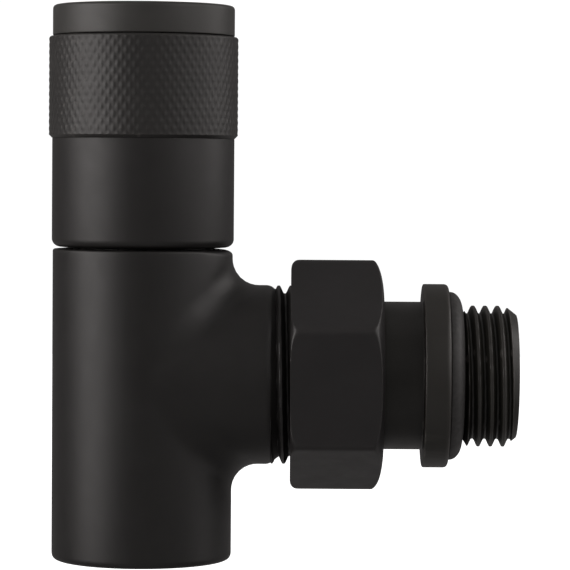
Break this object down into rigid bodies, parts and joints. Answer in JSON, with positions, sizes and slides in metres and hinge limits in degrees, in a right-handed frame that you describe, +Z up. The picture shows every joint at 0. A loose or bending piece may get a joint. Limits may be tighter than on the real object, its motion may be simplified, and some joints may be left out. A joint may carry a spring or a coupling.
{
  "type": "lockshield valve",
  "caption": "Angled lockshield radiator valve with a knurled cap, hex union nut, threaded tail and concealed pipe fitting.",
  "frame": {"origin": "centre of the barrel's open lower end, on the barrel's axis", "axes": "+Z up the barrel and cap, +X along the branch towards the radiator, +Y by the right-hand rule"},
  "size_m": [0.0694, 0.031, 0.082],
  "materials": {
    "black_coat": "matt black powder coat",
    "cap_coat": "matt black powder coat, fine knurl",
    "brass": "machined brass",
    "rubber": "moulded EPDM",
    "spring_steel": "bright spring wire",
    "liner_plastic": "moulded nylon"
  },
  "bodies": {
    "body": {"valve_body": "black_coat", "bonnet": "black_coat", "bonnet_o_ring": "rubber"},
    "obturator": {"valve_disc": "brass", "seat_washer": "rubber", "washer_screw": "brass"},
    "spindle": {"spindle": "brass", "spindle_o_ring_lower": "rubber", "spindle_o_ring_upper": "rubber"},
    "cap_liner": {"cap_liner": "liner_plastic", "cap_snap_ring": "spring_steel"},
    "cap_shell": {"cap_sleeve": "cap_coat", "knurled_band": "cap_coat", "cap_top_disc": "cap_coat"},
    "union_clip": {"union_snap_ring": "spring_steel"},
    "union_nut": {"union_nut": "black_coat"},
    "union_tail": {"union_tail": "black_coat", "tail_o_ring": "rubber", "collar_seal": "rubber"},
    "olive": {"olive": "brass"},
    "compression_nut": {"compression_nut": "brass"}
  },
  "joints": [
    {"name": "disc_lift", "type": "slide", "parent": "body", "child": "obturator", "axis": [0, 0, 1], "range_m": [0, 0.0045]},
    {"name": "spindle_turn", "type": "hinge", "parent": "obturator", "child": "spindle", "pos_m": [0, 0, 0.045], "axis": [0, 0, 1], "range_deg": [0, 1620]},
    {"name": "cap_lift", "type": "slide", "parent": "body", "child": "cap_liner", "axis": [0, 0, 1], "range_m": [0, 0.02]},
    {"name": "cap_spin", "type": "hinge", "parent": "cap_liner", "child": "cap_shell", "pos_m": [0, 0, 0.064], "axis": [0, 0, 1], "continuous": true},
    {"name": "union_draw", "type": "slide", "parent": "body", "child": "union_clip", "axis": [1, 0, 0], "range_m": [0, 0.00816]},
    {"name": "union_nut_turn", "type": "hinge", "parent": "union_clip", "child": "union_nut", "pos_m": [0.029, 0, 0.02755], "axis": [1, 0, 0], "range_deg": [0, 1620]},
    {"name": "tail_swivel", "type": "hinge", "parent": "union_clip", "child": "union_tail", "pos_m": [0.04, 0, 0.02755], "axis": [1, 0, 0], "continuous": true},
    {"name": "olive_slide", "type": "slide", "parent": "body", "child": "olive", "axis": [0, 0, -1], "range_m": [0, 0.00825]},
    {"name": "gland_turn", "type": "hinge", "parent": "olive", "child": "compression_nut", "pos_m": [0, 0, 0.005], "axis": [0, 0, -1], "range_deg": [0, 1980]}
  ],
  "couplings": [
    {"joint": "disc_lift", "follows": "spindle_turn", "m_per_rad": 0.00015915},
    {"joint": "union_draw", "follows": "union_nut_turn", "m_per_rad": 0.00028871},
    {"joint": "olive_slide", "follows": "gland_turn", "m_per_rad": 0.00023873}
  ]
}
